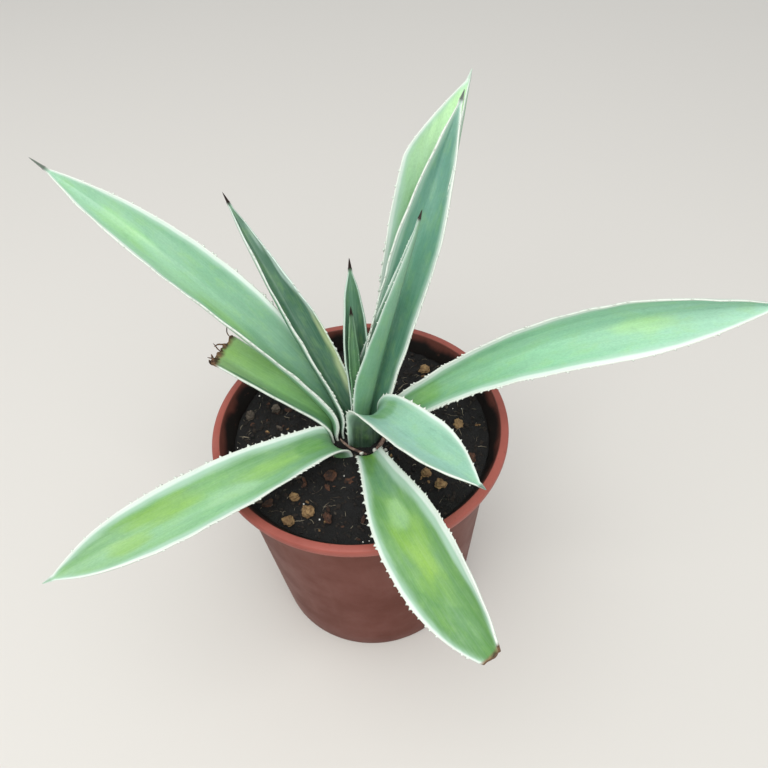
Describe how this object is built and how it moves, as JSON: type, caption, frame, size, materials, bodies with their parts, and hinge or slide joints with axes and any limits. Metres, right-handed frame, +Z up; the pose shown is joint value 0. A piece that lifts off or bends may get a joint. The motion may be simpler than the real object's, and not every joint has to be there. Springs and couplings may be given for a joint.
{
  "type": "potted variegated agave",
  "caption": "Young agave with pale-margined green leaves growing in a round nursery pot of dark compost.",
  "frame": {"origin": "centre of the pot's flat underside", "axes": "+Z up along the pot's axis, +Y away from the front leaf, +X towards the long right leaf"},
  "size_m": [0.4152, 0.3033, 0.3535],
  "materials": {
    "pot_plastic": "satin",
    "compost": "matte",
    "stem": "matte",
    "leaf": "satin",
    "bark_tan": "matte",
    "bark_brown": "matte",
    "bark_grey": "matte",
    "perlite": "matte"
  },
  "bodies": {
    "root": {"pot": "pot_plastic", "compost": "compost", "stem": "stem", "leaf_center_bud": "leaf", "leaf_center_spear": "leaf", "leaf_folded_young": "leaf", "leaf_tall_inner": "leaf", "leaf_upper_left": "leaf", "leaf_tall_outer": "leaf", "leaf_short_right": "leaf", "leaf_far_left": "leaf", "leaf_long_right": "leaf", "leaf_cut_left": "leaf", "leaf_lower_left": "leaf", "leaf_front": "leaf", "bark_chip_01": "bark_tan", "bark_chip_02": "bark_tan", "bark_chip_03": "bark_tan", "bark_chip_04": "bark_brown", "bark_chip_05": "bark_brown", "bark_chip_06": "bark_brown", "bark_chip_07": "bark_brown", "bark_chip_08": "bark_tan", "bark_chip_09": "bark_tan", "bark_chip_10": "bark_tan", "bark_chip_11": "bark_tan", "bark_chip_12": "bark_brown", "bark_chip_13": "bark_grey", "bark_chip_14": "bark_grey", "bark_chip_15": "bark_brown", "perlite_01": "perlite", "perlite_02": "perlite", "perlite_03": "perlite", "perlite_04": "perlite", "perlite_05": "perlite"}
  },
  "joints": []
}
